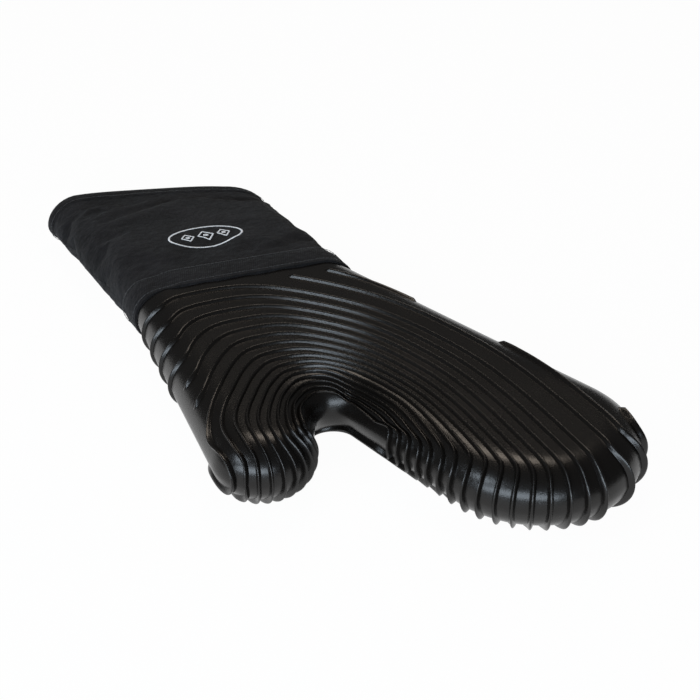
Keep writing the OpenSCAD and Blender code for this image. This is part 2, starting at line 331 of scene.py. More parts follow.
def twill_finish():
    """Twill cloth: fine diagonal cords over the weft, lint and crumples. The cloth's cut is its UV map."""
    f = Finish("black_twill", Sheen_Weight=0.05, Sheen_Roughness=0.4, IOR=1.3)
    cut = f.node("ShaderNodeUVMap", {"uv_map": "cut"})
    split = f.node("ShaderNodeSeparateXYZ", {}, {0: cut})
    along, across = split, f.output(split, 1)
    cord = (along + across) * (2 * math.pi / CORD_PITCH)
    pick = (along - across * PICK_LEAN) * (2 * math.pi / PICK_PITCH)
    weave = (cord.math("SINE", cord) * 0.5 + 0.5) * 0.7 + (pick.math("SINE", pick) * 0.5 + 0.5) * 0.3
    lint, cloud, crumple = f.noise(1500, 2, 0.7), f.noise(45, 3), f.noise(260, 2)
    # The colour follows the relief and is darker where the cloth dips: painted shade in its hollows, over
    # the cloth's own uneven tone
    shade = (weave * 0.35 + lint * 0.9 + cloud * 1.9 + crumple * 0.7 - 1.6).clamped()
    colour = f.blend(shade, (0.0018, 0.0016, 0.0019), (0.0115, 0.0106, 0.0121))
    relief = weave * 0.6 + lint * 0.7 + crumple * 4.5 + cloud * 10
    return f.surface(colour, 0.72 + lint * 0.2, relief, 0.00026)


def lining_finish():
    f = Finish("cotton_lining", Sheen_Weight=0.2)
    lint, cloud = f.noise(1300, 2, 0.7), f.noise(60, 2)
    shade = (lint * 0.7 + cloud * 0.4 - 0.1).clamped()
    colour = f.blend(shade, (0.045, 0.045, 0.05), (0.10, 0.10, 0.11))
    return f.surface(colour, 0.82 + lint * 0.1, lint, 0.0003)


def wadding_finish():
    f = Finish("polyester_wadding", Sheen_Weight=0.3)
    fibre = f.noise(900, 4, 0.75)
    colour = f.blend(fibre, (0.70, 0.69, 0.66), (0.88, 0.87, 0.84))
    return f.surface(colour, 0.85 + fibre * 0.1, fibre, 0.0006)


def thread_finish(name, dark, light):
    f = Finish(name, Sheen_Weight=0.25, IOR=1.45)
    twist = f.noise(2500, 1)
    return f.surface(f.blend(twist, dark, light), 0.45 + twist * 0.2, twist, 0.0001)


silicone = silicone_finish()
twill = twill_finish()
lining_cloth = lining_finish()
wadding_fill = wadding_finish()
white_thread = thread_finish("white_thread", (0.62, 0.62, 0.63), (0.86, 0.86, 0.87))
black_thread = thread_finish("black_thread", (0.005, 0.005, 0.0055), (0.016, 0.016, 0.018))


class Tree(Graph):
    """A geometry tree with named inputs, run once on a piece's mesh."""

    def __init__(self, name, **inputs):
        super().__init__(bpy.data.node_groups.new(name, "GeometryNodeTree"))
        face = self.tree.interface
        face.new_socket("Path", in_out="INPUT", socket_type="NodeSocketGeometry")
        face.new_socket("Piece", in_out="OUTPUT", socket_type="NodeSocketGeometry")
        kinds = {float: "NodeSocketFloat", int: "NodeSocketInt"}
        for key, value in inputs.items():
            kind = kinds.get(type(value), "NodeSocketMaterial")
            socket = face.new_socket(key, in_out="INPUT", socket_type=kind)
            if type(value) in kinds:
                socket.default_value = value
        self.entry = self.tree.nodes.new("NodeGroupInput")
        self.inputs = inputs

    def given(self, name):
        return Signal(self, self.entry.outputs[name])

    def attribute(self, name, kind="FLOAT_VECTOR"):
        return self.node("GeometryNodeInputNamedAttribute", {"data_type": kind}, {"Name": name})

    def stored(self, geometry, name, value, kind="FLOAT_VECTOR"):
        return self.node("GeometryNodeStoreNamedAttribute", {"data_type": kind, "domain": "POINT"},
                         {"Geometry": geometry, "Name": name, "Value": value})

    def vector(self, operation, *values):
        keys = {"SCALE": (0, "Scale")}.get(operation, (0, 1))
        return self.node("ShaderNodeVectorMath", {"operation": operation}, dict(zip(keys, values)))

    def end(self, geometry, material):
        whole = self.node("GeometryNodeRealizeInstances", {}, {"Geometry": geometry})
        dressed = self.node("GeometryNodeSetMaterial", {}, {"Geometry": whole, "Material": material})
        self.node("NodeGroupOutput", {}, {"Piece": dressed})
        return self

    def run(self, piece, **values):
        modifier = piece.modifiers.new("grow", "NODES")
        modifier.node_group = self.tree
        for item in self.tree.interface.items_tree:
            if item.in_out == "INPUT" and item.name in self.inputs:
                modifier[item.identifier] = values.get(item.name, self.inputs[item.name])
        return modified(piece)


def path_piece(name, lines, **attributes):
    """A piece of bare edges along lines of points in mm: each line is (points, closed), and each
    attribute holds one array a line."""
    points = np.concatenate([line for line, _ in lines])
    edges, start = [], 0
    for line, closed in lines:
        n = len(line)
        edges += [(start + i, start + i + 1) for i in range(n - 1)]
        edges += [(start + n - 1, start)] if closed else []
        start += n
    mesh = bpy.data.meshes.new(name)
    mesh.from_pydata([tuple(p) for p in placed(points)], edges, [])
    for key, parts in attributes.items():
        values = np.concatenate(parts).astype(np.float32)
        vector = values.ndim == 2
        layer = mesh.attributes.new(key, "FLOAT_VECTOR" if vector else "FLOAT", "POINT")
        layer.data.foreach_set("vector" if vector else "value", values.ravel())
    piece = bpy.data.objects.new(name, mesh)
    bpy.context.scene.collection.objects.link(piece)
    return piece


# ---- the hand's outline ----
def unit(angle):
    return np.array([math.cos(angle), math.sin(angle)])


def tangent(c1, r1, c2, r2):
    d = c2 - c1
    return math.atan2(d[1], d[0]) - math.acos((r1 - r2) / np.linalg.norm(d))


def hand_outline(step):
    """Points and outward normals of the hand's edge, from the cuff round thumb and fingers and back."""
    ends = [np.array([joint_x(side * JOINT_W), side * JOINT_W]) for side in (-1, 1)]
    turns = [tangent(ends[0], 0, THUMB, THUMB_R), tangent(THUMB, THUMB_R, CROTCH, -CROTCH_R),
             tangent(CROTCH, -CROTCH_R, TIP, FINGER_R), tangent(TIP, FINGER_R, ends[1], 0)]
    turns[3] += 2 * math.pi if turns[3] < turns[2] else 0
    cuff_y = JOINT_W + (MOUTH_W - JOINT_W) * (1 - FLANGE_S)
    corners = [(np.array([cuff_x(FLANGE_S, -cuff_y), -cuff_y]), -math.pi / 2), (ends[0], -math.pi / 2)]
    for centre, radius, a0, a1 in ((THUMB, THUMB_R, *turns[:2]), (CROTCH, -CROTCH_R, *turns[1:3]),
                                   (TIP, FINGER_R, *turns[2:])):
        n = max(12, round(abs(radius * (a1 - a0)) / step))
        corners += [(centre + radius * unit(a), a) for a in np.linspace(a0, a1, n + 1)]
    last = math.pi / 2 + 2 * math.pi * round((turns[3] - math.pi / 2) / (2 * math.pi))
    corners += [(ends[1], last), (np.array([cuff_x(FLANGE_S, cuff_y), cuff_y]), last)]
    points, normals = [], []
    for (p, a), (q, b) in zip(corners, corners[1:]):
        n = max(1, round(np.linalg.norm(q - p) / step))
        for i in range(n):
            points.append(p + (q - p) * i / n)
            normals.append(unit(a + (b - a) * i / n))
    return np.array(points + [corners[-1][0]]), np.array(normals + [unit(corners[-1][1])])


edge_points, edge_normals = hand_outline(0.4)
edge_run = np.concatenate([[0], np.cumsum(np.linalg.norm(np.diff(edge_points, axis=0), axis=1))])


def edge_depth(xy):
    """How far points lie inside the outline, and the outline's normal nearest to each."""
    depth, normal = np.empty(len(xy)), np.empty((len(xy), 2))
    for start in range(0, len(xy), 2000):
        part = xy[start:start + 2000]
        gap = edge_points[None] - part[:, None]
        near = np.argmin((gap ** 2).sum(2), 1)
        chosen = gap[np.arange(len(part)), near]
        n = edge_normals[near]
        depth[start:start + 2000] = (chosen * n).sum(1)
        normal[start:start + 2000] = n
    return depth, normal


def dome(depth, inset=0.0):
    """Half the hand's thickness at a depth inside its outline, and the lean of the surface there."""
    c = np.clip(1 - (depth - inset) / (EDGE_A - inset), 0, 1)
    return (HALF_T - inset) * np.sqrt(1 - c * c), c


def hand_bag(inset, step, pitch, rows, tail_s):
    """Points and faces of the hand's surface, inset from the smooth face and open at the cuff."""
    points, normals = hand_outline(step)
    keep = points[:, 0] > cuff_x(tail_s, points[:, 1]) + 0.3
    points, normals = points[keep], normals[keep]
    angles = np.radians(np.linspace(0, 90, rows + 1))
    rings, heights = [], []
    for b in angles:
        reach = inset + (EDGE_A - inset) * (1 - math.cos(b))
        row = points - reach * normals
        for end in (0, -1):
            row[end, 0] = cuff_x(tail_s, row[end, 1])
        rings.append(row)
        heights.append(np.full(len(row), (HALF_T - inset) * math.sin(b)))
    n = len(points)
    y0, y1 = rings[-1][0, 1], rings[-1][-1, 1]
    ys = np.linspace(y0, y1, max(3, round((y1 - y0) / pitch)))[1:-1]
    tail = np.stack([cuff_x(tail_s, ys), ys], 1)
    # A grid of even triangles fills the face inside the rounded edge
    xs = np.arange(0, MITT_L, pitch * 0.866)
    grid = np.array([(x, y) for i, x in enumerate(xs)
                     for y in np.arange(-90 + (i % 2) * pitch / 2, 110, pitch)])
    depth, _ = edge_depth(grid)
    inside = (depth > EDGE_A + pitch * 0.45) & (grid[:, 0] > cuff_x(tail_s, grid[:, 1]) + pitch * 0.6)
    grid = grid[inside]
    plan = np.concatenate(rings + [tail, grid])
    z = np.concatenate(heights + [np.full(len(tail) + len(grid), HALF_T - inset)])
    first_tail = (rows + 1) * n
    border = list(range(n)) + [r * n + n - 1 for r in range(1, rows + 1)]
    border += list(range(first_tail + len(tail) - 1, first_tail - 1, -1))
    border += [r * n for r in range(rows, 0, -1)]
    edges = [(a, border[(i + 1) % len(border)]) for i, a in enumerate(border)]
    made, _, faces, origin, _, _ = delaunay_2d_cdt([Vector(p) for p in plan], edges, [], 1, 1e-7)
    where = np.array([o[0] for o in origin])
    flat, z = plan[where], z[where]
    # The face below mirrors the one above, and they share the points of the edge's widest line
    rim = where < n
    under = np.arange(len(flat)) + len(flat)
    under[rim] = np.arange(len(flat))[rim]
    top = np.column_stack([flat, MIDDLE_Z + z])
    bottom = np.column_stack([flat, MIDDLE_Z - z])
    faces = [tuple(f) for f in faces] + [tuple(int(under[i]) for i in reversed(f)) for f in faces]
    used = np.concatenate([np.ones(len(flat), bool), ~rim])
    index = np.cumsum(used) - 1
    return np.concatenate([top, bottom])[used], [tuple(int(index[i]) for i in f) for f in faces]


def under_cuff(points, inset):
    """Points behind the seam, drawn in below the cuff's cloth."""
    p = points.copy()
    s = smooth_step(0, 1.2, joint_x(p[:, 1]) - p[:, 0]) * inset
    p[:, 1] *= 1 - s / JOINT_W
    p[:, 2] = MIDDLE_Z + (p[:, 2] - MIDDLE_Z) * (1 - s / HALF_T)
    return p


# ---- the silicone hand ----
def silicone_hand():
    """The moulded shell, its flange drawn in under the cuff and its parting line round the edge."""
    points, faces = hand_bag(0, *SHELL_MESH, FLANGE_S)
    depth, normal = edge_depth(points[:, :2])
    bare = points[:, 0] > joint_x(points[:, 1]) + 2
    parting = np.exp(-((points[:, 2] - MIDDLE_Z) / PARTING_W) ** 2) * bare
    points[:, :2] += normal * (PARTING_H * parting * (depth < 2))[:, None]
    piece = piece_from("silicone_hand", under_cuff(points, FLANGE_IN), faces, silicone)
    shell = {"thickness": SILICONE_T * 0.001, "offset": -1, "use_even_offset": True}
    return modified(piece, SOLIDIFY=shell)


def hand_layer(name, inset, thick, finish):
    """One of the layers inside the silicone hand, which ends just behind the seam."""
    piece = piece_from(name, *hand_bag(inset, *LAYER_MESH, LAYER_S), finish)
    return modified(piece, SOLIDIFY={"thickness": thick * 0.001, "offset": -1})


# ---- the ribs ----
# Lines through these points run beside the innermost and beyond the outermost rib, from the thumb's
# outer side round the crotch to the finger side
guide_r = CROTCH_R + RIB_MARGIN
INNER_GUIDE = np.array([THUMB + [31, 15], THUMB + [11, 16]] + [
    CROTCH + guide_r * np.array(p) for p in
    ((0, -1.22), (-0.71, -0.65), (-0.95, -0.13), (-0.78, 0.39), (-0.28, 0.71), (0.5, 0.88), (1.4, 1.0))]
    + [CROTCH + [37, 14], CROTCH + [49, 12]])
OUTER_GUIDE = np.array([
    THUMB + [13, -63], THUMB + [-42, -60], [CUFF_L + 45, -JOINT_W - 24], [CUFF_L + 13, -JOINT_W + 2],
    [CUFF_L + 6, -JOINT_W + 26], [CUFF_L + 16, JOINT_W - 54], [CUFF_L + 57, JOINT_W - 19],
    [CUFF_L + 108, JOINT_W - 1], TIP + [-14, 6], TIP + [68, 2], TIP + [96, 0]])
# How much the ribs crowd together towards the crotch, at each point of the guides
CROWDING = np.array([0, -0.2, 0.1, 0.3, 0.45, 0.5, 0.5, 0.3, 0.1, 0, 0])


def rib_depth(k):
    """The place of rib k between the two guides, as a share."""
    if k < RIB_N:
        return (RIB_GROWTH ** k - 1) / (RIB_GROWTH ** (RIB_N - 1) - 1)
    return 1 + RIB_FAR_STEP * (k - RIB_N + 1)


def rib_line(w, steps=120):
    """A smooth line (a Catmull-Rom spline) through the points w of the way between the two guides."""
    share = w - CROWDING * max(0, w * (1 - w) ** 3)
    g = INNER_GUIDE + (OUTER_GUIDE - INNER_GUIDE) * share[:, None]
    t = np.linspace(0, 1, steps, endpoint=False)[:, None]
    parts = []
    for i in range(len(g) - 1):
        a, b, c, d = g[max(0, i - 1)], g[i], g[i + 1], g[min(len(g) - 1, i + 2)]
        parts.append(0.5 * (2 * b + (c - a) * t + (2 * a - 5 * b + 4 * c - d) * t ** 2
                            + (3 * b - a - 3 * c + d) * t ** 3))
    return np.concatenate(parts + [g[-1:]])


def spaced(points, step, closed=False):
    """The same line with its points a step apart."""
    line = np.concatenate([points, points[:1]]) if closed else points
    run = np.concatenate([[0], np.cumsum(np.linalg.norm(np.diff(line, axis=0), axis=1))])
    n = max(6, round(run[-1] / step))
    at = np.linspace(0, run[-1], n + 1)
    made = np.stack([np.interp(at, run, line[:, i]) for i in range(line.shape[1])], 1)
    return made[:-1] if closed else made


def rib_ends(k):
    """Where rib k meets the hand's edge, thumb side and finger side, as distances round the edge."""
    fading, beyond = k - FADING_RIBS[0], k - RIB_N
    near = NEAR_END - NEAR_STEP * k if fading < 0 else FADE_END - FADE_STEP * fading
    if beyond < 0:
        far = FAR_END + FAR_STEP * k + FAR_GROWTH * k ** 2
    else:
        far = BEYOND_END + BEYOND_STEP * beyond + BEYOND_GROWTH * beyond ** 2
    return near, far


def squared(part, at, slant=False):
    """The same line, its end turned square to the edge and ended on it, that far round the edge.
    A slanted one goes straight to that place instead."""
    i = int(np.searchsorted(edge_run, at))
    goal, out = edge_points[i], edge_normals[i]
    gap = np.linalg.norm(part - goal, axis=1)
    nearest = int(np.argmin(gap))
    far_off = np.nonzero(gap[:nearest + 1] > (SLANT_TURN if slant else RIB_TURN))[0]
    i = int(far_off[-1]) if len(far_off) else 0
    ahead = part[i] - part[max(0, i - 3)]
    ahead /= np.linalg.norm(ahead)
    if slant:
        out = (goal - part[i]) / gap[i]
    t = (1 - (1 - np.linspace(0, 1, 48)) ** 2)[1:, None]
    turn = ((2 * t ** 3 - 3 * t ** 2 + 1) * part[i] + (t ** 3 - 2 * t ** 2 + t) * ahead * gap[i]
            + (3 * t ** 2 - 2 * t ** 3) * goal + (t ** 3 - t ** 2) * out * gap[i])
    return np.concatenate([part[:i + 1], turn])


def rib_plan(k):
    """Rib k seen from above: each run is (points, whether its start is cut short, the same for its end)."""
    line = spaced(rib_line(rib_depth(k)), LINE_STEP)
    near, far = rib_ends(k)
    half = len(line) // 2
    if k < RIB_N:
        thumb_side = squared(line[:half][::-1], near, k == SLANT_RIB)[::-1]
        return [(np.concatenate([thumb_side, squared(line[half:], far)]), False, False)]
    seen = line[:, 0] > joint_x(line[:, 1]) + RIB_LEAD.get(k, 0)
    seen[:half] &= line[:half, 1] > 0
    if k == TIP_RIB:
        seen &= line[:, 0] > TIP_RIB_X
    if k != SLIP_RIB:
        return [(squared(line[seen], far), True, False)]
    out = np.nonzero(seen & (edge_depth(line)[0] < SLIP_DEPTH) & (line[:, 0] < TIP[0] - 20))[0]
    first = np.nonzero(seen)[0][0]
    return [(line[first:out[0]], True, True), (squared(line[out[-1] + 1:], far), True, False)]


def rib_runs(k):
    """The runs of rib k over the hand: each is (points, normals, closed)."""
    made = []
    for part, *stopped in rib_plan(k):
        d, n = edge_depth(part)
        for side in (0, 1):
            if not stopped[side]:
                d[-side] = 0
        height, lean = dome(np.maximum(d, 0))
        slope = np.sqrt(1 - lean ** 2)
        walls = []
        for up in (1, -1):
            p = np.column_stack([part, MIDDLE_Z + up * height])
            walls.append(np.column_stack([p, n * (lean / EDGE_A)[:, None], up * slope / HALF_T]))
        top, low = walls
        if all(stopped):
            joined = [(top, False), (low, False)]
        elif stopped[0]:
            joined = [(np.concatenate([top, low[::-1][1:]]), False)]
        elif stopped[1]:
            joined = [(np.concatenate([top[::-1], low[1:]]), False)]
        else:
            joined = [(np.concatenate([top, low[::-1][1:-1]]), True)]
        for both, closed in joined:
            # The normals ride along so short that they don't count in the line's length
            both[:, 3:] *= 1e-3 / np.linalg.norm(both[:, 3:], axis=1)[:, None]
            both = spaced(both, RIB_STEP, closed)
            made.append((both[:, :3], unit_rows(both[:, 3:]), closed))
    return made


def rib_tree():
    """Sweeps a bell-shaped bead along the path, standing on the normal stored there."""
    t = Tree("moulded_ribs", Bead_Points=15, Sharpness=2.6, Foot=0.0003, Finish=None)
    line = t.node("GeometryNodeMeshToCurve", {}, {0: t.given("Path")})
    line = t.stored(line, "spot", t.node("GeometryNodeInputPosition"))
    sockets = {"Resolution": t.given("Bead_Points"), "Radius": 1.0}
    ring = t.node("GeometryNodeCurvePrimitiveCircle", {}, sockets)
    share = t.node("GeometryNodeSplineParameter")
    # Most of the ring's points lie over the bead, and a few under its foot
    turn = (share.math("MINIMUM", share * 1.25, 1.0) + share.math("MAXIMUM", share * 5 - 4, 0.0)) * math.pi
    rise = turn.math("SINE", turn)
    ring = t.stored(ring, "across", turn.math("COSINE", turn), "FLOAT")
    ring = t.stored(ring, "rise", rise.math("MAXIMUM", rise, 0.0) ** t.given("Sharpness"), "FLOAT")
    ring = t.stored(ring, "sink", rise.math("MINIMUM", rise, 0.0), "FLOAT")
    bead = t.node("GeometryNodeCurveToMesh", {}, {"Curve": line, "Profile Curve": ring, "Fill Caps": True})
    height = (t.attribute("rise", "FLOAT") * t.attribute("high", "FLOAT")
              + (t.attribute("sink", "FLOAT") - 0.4) * t.given("Foot"))
    width = t.attribute("across", "FLOAT") * t.attribute("half", "FLOAT")
    place = t.vector("ADD", t.attribute("spot"), t.vector("SCALE", t.attribute("stand"), height))
    place = t.vector("ADD", place, t.vector("SCALE", t.attribute("aside"), width))
    bead = t.node("GeometryNodeSetPosition", {}, {"Geometry": bead, "Position": place})
    bead = t.node("GeometryNodeSetShadeSmooth", {"domain": "FACE"}, {"Geometry": bead, "Shade Smooth": True})
    return t.end(bead, t.given("Finish"))


def moulded_ribs(name, ribs):
    """Some of the ribs as one piece, over both faces and round the edges."""
    lines, stand, aside, high, half = [], [], [], [], []
    for k in ribs:
        w = rib_depth(k)
        wide = RIB_REACH_INNER + (RIB_REACH - RIB_REACH_INNER) * min(1, RIB_SPREAD * w)
        for points, normal, closed in rib_runs(k):
            along = ahead_of(points) if closed else np.gradient(points, axis=0)
            depth, out = edge_depth(points[:, :2])
            front = smooth_step(THUMB[0] - FRONT_FROM, THUMB[0] - FRONT_TO, points[:, 0])
            height = RIB_H + RIB_EDGE_H * front * np.sqrt(1 - normal[:, 2] ** 2)
            if k in FADING_RIBS:
                near = (out[:, 1] < -0.5) & (points[:, 0] < THUMB[0] - FRONT_TO)
                height = np.where(near, height * smooth_step(*FADE_DEPTHS, depth), height)
            if not closed:
                run = np.arange(len(points)) * RIB_STEP
                end = np.minimum(run, run[-1] - run)
                height *= END_SHARE + (1 - END_SHARE) * smooth_step(*END_RISE, end)
            lines.append((points, closed))
            stand.append(normal)
            aside.append(unit_rows(np.cross(normal, along)))
            high.append(height * 0.001)
            half.append(np.full(len(points), wide * 0.001))
    paths = path_piece(name, lines, stand=stand, aside=aside, high=high, half=half)
    return rib_tree().run(paths, Finish=silicone)


# ---- the cuff ----
def cuff_arch(s, inset, up):
    """One half of the cuff's section at station s, from the thumb side's seam to the far side's.
    up is 1 for the back and -1 for the palm."""
    w = MOUTH_W + (JOINT_W - MOUTH_W) * s
    b = np.radians(np.linspace(0, 90, ARC_N + 1))
    v = np.linspace(-1, 1, FLAT_N + 1)[1:-1]
    y = np.concatenate([-(w - inset - (EDGE_A - inset) * (1 - np.cos(b))), v * (w - EDGE_A),
                        (w - inset - (EDGE_A - inset) * (1 - np.cos(b[::-1])))])
    k = np.concatenate([np.zeros(len(b)), (1 + v) / 2, np.ones(len(b))])
    mouth_t = MOUTH_NEAR_T + (MOUTH_FAR_T - MOUTH_NEAR_T) * k
    h = (mouth_t + (2 * HALF_T - mouth_t) * min(1, s / FLANGE_S)) / 2
    rise = np.concatenate([np.sin(b), np.ones(len(v)), np.sin(b[::-1])])
    return np.column_stack([cuff_x(s, y), y, RIB_H + h + up * (h - inset) * rise])


def cuff_hoop(s, inset):
    """The whole section at station s."""
    return np.concatenate([cuff_arch(s, inset, 1), cuff_arch(s, inset, -1)[::-1][1:-1]])


stations = np.linspace(0, 1, STATION_N + 1)


def groove(xy, start, end, width, depth):
    """The depth at each point of a soft groove along a line between two points."""
    a, d = np.array(start, float), np.array(end, float) - np.array(start, float)
    t = ((xy - a) @ d) / (d @ d)
    off = np.linalg.norm(xy - a - np.clip(t, 0, 1)[..., None] * d, axis=-1)
    return depth * np.exp(-(off / width) ** 2)


def padding_swell(base):
    """How far each point of the cuff's grid moves once the padding fills it, by a cloth simulation."""
    rows, columns = base.shape[:2]
    points = list(base.reshape(-1, 3))
    faces = ring_faces(rows, columns)
    for i, turn in ((0, 1), (rows - 1, -1)):
        ring = [i * columns + j for j in range(columns)]
        points.append(base[i].mean(0))
        faces += [(ring[j], len(points) - 1, ring[(j + 1) % columns])[::turn] for j in range(columns)]
    bag = piece_from("cuff_bag", points, faces_out(points, faces), None)
    held = bag.vertex_groups.new(name="held")
    for i, s in enumerate(stations):
        hold = float(max(smooth_step(HEM_S - 0.12, HEM_S, s), 1 - smooth_step(0.03, 0.2, s)))
        held.add(range(i * columns, (i + 1) * columns), max(hold, 0.001), "REPLACE")
    held.add([len(points) - 1, len(points) - 2], 1.0, "REPLACE")
    cloth = bag.modifiers.new("cloth", "CLOTH")
    wear = cloth.settings
    wear.quality, wear.mass = 6, 0.3
    wear.tension_stiffness = wear.compression_stiffness = 12
    wear.shear_stiffness, wear.bending_stiffness = 6, 2.5
    wear.use_pressure, wear.uniform_pressure_force = True, 1.0
    wear.shrink_min = -0.02
    wear.vertex_group_mass = "held"
    wear.effector_weights.gravity = 0
    cloth.collision_settings.use_collision = False
    cloth.point_cache.frame_start, cloth.point_cache.frame_end = 1, CLOTH_FRAMES
    for number in range(1, CLOTH_FRAMES + 1):
        bpy.context.scene.frame_set(number)
    settled = bag.evaluated_get(bpy.context.evaluated_depsgraph_get()).data
    after = np.array([v.co for v in settled.vertices])[:rows * columns] * 1000 + ORIGIN
    moved = after.reshape(base.shape) - base
    reach = np.linalg.norm(moved, axis=2, keepdims=True)
    bpy.context.scene.frame_set(1)
    bpy.data.objects.remove(bag)
    return moved * np.minimum(1, CUFF_SWELL / np.maximum(reach, 1e-6))


def cuff_swell():
    """How far each point of the cuff's grid moves from its drawn place: the padding and the creases."""
    base = np.array([cuff_hoop(s, 0) for s in stations])
    moved = padding_swell(base)
    # The cloth lies flat on the palm side, so only its back and edges swell
    lower = np.zeros(base.shape[:2], bool)
    lower[:, HALF_HOOP + 1:] = True
    moved[..., 2] = np.where(lower, np.maximum(moved[..., 2], -0.2) * 0.3, moved[..., 2])
    for start, end, width, depth in CUFF_CREASES:
        moved[..., 2] -= np.where(lower, 0, groove(base[..., :2], start, end, width, depth))
    return moved


cuff_moved = cuff_swell()


def cuff_ring(s, inset):
    """A line of points round the cuff at station s, with the padding's swell."""
    i = min(int(s * STATION_N), STATION_N - 1)
    t = s * STATION_N - i
    return cuff_hoop(s, inset) + cuff_moved[i] * (1 - t) + cuff_moved[i + 1] * t


def cuff_grid(inset, last, columns):
    """Points of the cuff at an inset, from the mouth to a station, with the padding's swell."""
    rows = [i for i, s in enumerate(stations) if s <= last + 1e-6]
    return (np.array([cuff_hoop(stations[i], inset) for i in rows]) + cuff_moved[rows])[:, columns]


BACK = list(range(HALF_HOOP + 1))
PALM = [(HALF_HOOP + i) % (2 * HALF_HOOP) for i in range(HALF_HOOP + 1)]


def cut_map(piece, rows, columns, length, girth):
    """A UV map in metres that follows the cloth's own threads."""
    layer = piece.data.uv_layers.new(name="cut")
    n = rows * columns
    where = np.zeros(len(piece.data.loops), int)
    piece.data.loops.foreach_get("vertex_index", where)
    where %= n
    layer.data.foreach_set("uv", np.column_stack([where // columns / (rows - 1) * length,
                                                  where % columns / (columns - 1) * girth]).ravel())


def cuff_layer(name, inset, thick, last, finish):
    """The back half and the palm half of one of the cuff's layers, as two pieces."""
    made = []
    for half, columns, lift in (("back", BACK, GAP / 2), ("palm", PALM, -GAP / 2)):
        grids = [cuff_grid(side, last, columns) for side in (inset, inset + thick)]
        for grid in grids:
            grid[:, (0, -1), 2] += lift
        piece = piece_from(f"cuff_{half}_{name}", *wall(*grids), finish, sharp=50)
        cut_map(piece, *grids[0].shape[:2], last * CUFF_L * 0.001, HALF_ROUND)
        made.append(piece)
    return made


def rolled_edge(name, profile, finish):
    """A folded strip all the way round the cuff: profile is a closed list of (station, inset, forward)."""
    rings = []
    for s, inset, forward in profile:
        ring = cuff_ring(s, inset)
        ring[:, 0] += forward
        rings.append(ring)
    rows, columns = len(rings), len(rings[0])
    points = np.concatenate(rings)
    faces = faces_out(points, ring_faces(rows, columns, around=True))
    piece = piece_from(name, points, faces, finish, sharp=60)
    cut_map(piece, rows, columns, STRIP_W, WHOLE_ROUND)
    return piece


def hem_profile():
    """The hem band: its outer face from the free edge to the seam, and its inner face back."""
    out, low = -FABRIC_T - GAP / 2, -GAP / 2
    share = np.linspace(0, 1, 9)
    stops = np.linspace(HEM_S, 1, 9)
    tuck = HEM_TUCK * (1 - smooth_step(0, HEM_TUCK_SHARE, share))
    upper = [(s, out + t, 0.0) for s, t in zip(stops, tuck)]
    upper[-1] = (1, out + 0.15, -GAP)
    return upper + [(s, low, -GAP if s == 1 else 0.0) for s in stops[::-1]]


def binding_profile():
    """The binding: over the cuff's outer face, round the mouth and into it, and back underneath."""
    out, inner = -FABRIC_T, CUFF_LINING_IN + LINING_T + GAP / 2 + LINING_T
    half, centre = (inner - out) / 2, (inner + out) / 2
    bend = np.radians(np.linspace(0, 180, 9))
    over = [(s, out + BINDING_TUCK * smooth_step(0.4, 1, s / BINDING_S), 0.0)
            for s in np.linspace(BINDING_S, 0, 6)[:-1]]
    over += [(0.0, centre - half * math.cos(a), -BINDING_ROLL * math.sin(a)) for a in bend]
    over += [(s, inner, 0.0) for s in np.linspace(0, BINDING_S, 5)[1:]]
    inside = [(s, inner - LINING_T, 0.0) for s in np.linspace(BINDING_S, 0, 5)[:-1]]
    inside += [(0.0, centre + (half - BINDING_T) * math.cos(a), -BINDING_ROLL / 2 * math.sin(a))
               for a in bend]
    inside += [(s, -GAP / 2, 0.0) for s in np.linspace(0, BINDING_S, 5)[1:]]
    return over + inside


# ---- stitching ----
def stitch_tree():
    """Sets one slim thread stitch on each point of the path, lying along its stored direction."""
    t = Tree("thread_stitches", Length=0.0024, Width=0.0005, Wander=0.06, Seed=4, Thread=None)
    shape = t.node("GeometryNodeMeshUVSphere", {}, {"Segments": 8, "Rings": 4, "Radius": 0.5})
    turn = t.node("FunctionNodeAxesToRotation", {"primary_axis": "X", "secondary_axis": "Z"},
                  {0: t.attribute("along"), 1: t.attribute("up")})
    wander = t.given("Wander")
    size = t.node("FunctionNodeRandomValue", {"data_type": "FLOAT"},
                  {"Min": 1 - wander, "Max": 1 + wander, "Seed": t.given("Seed")}, out=1)
    sides = (t.given("Length") * size, t.given("Width") * size, t.given("Width") * 0.7)
    scale = t.node("ShaderNodeCombineXYZ", {}, dict(enumerate(sides)))
    sockets = {"Points": t.given("Path"), "Instance": shape, "Rotation": turn, "Scale": scale}
    laid = t.node("GeometryNodeInstanceOnPoints", {}, sockets)
    laid = t.node("GeometryNodeSetShadeSmooth", {"domain": "FACE"}, {"Geometry": laid, "Shade Smooth": True})
    return t.end(laid, t.given("Thread"))


def seam_stitches(name, rows, length, pitch):
    """Rows of stitches round the cuff: each row is (station, inset)."""
    spots, along, up = [], [], []
    for s, inset in rows:
        both = spaced(np.column_stack([cuff_ring(s, inset), cuff_ring(s, inset + 1)]), pitch, True)
        spots.append(both[:, :3])
        along.append(unit_rows(ahead_of(both[:, :3])))
        up.append(both[:, :3] - both[:, 3:])
    path = path_piece(name, [(line, False) for line in spots], along=along, up=up)
    return stitch_tree().run(path, Length=length * 0.001, Thread=black_thread)


def motif_lines():
    """The motif's lines on a flat cloth, as (points, thread width): an oval and three lozenges."""
    a = np.linspace(0, 2 * math.pi, 240, endpoint=False)
    lines = [(np.column_stack([MOTIF_OVAL[0] * np.cos(a), MOTIF_OVAL[1] * np.sin(a)]), 1.25)]
    for y, r in MOTIF_LOZENGES:
        corners = np.array([(5.6, 0), (0, 4.4), (-5.6, 0), (0, -4.4), (5.6, 0)]) * r + (0, y)
        lines.append((spaced(corners, 0.3)[:-1], 0.95))
        lines.append((np.column_stack([np.cos(a[::24]), np.sin(a[::24])]) * r + (0, y), 1.1))
    return lines


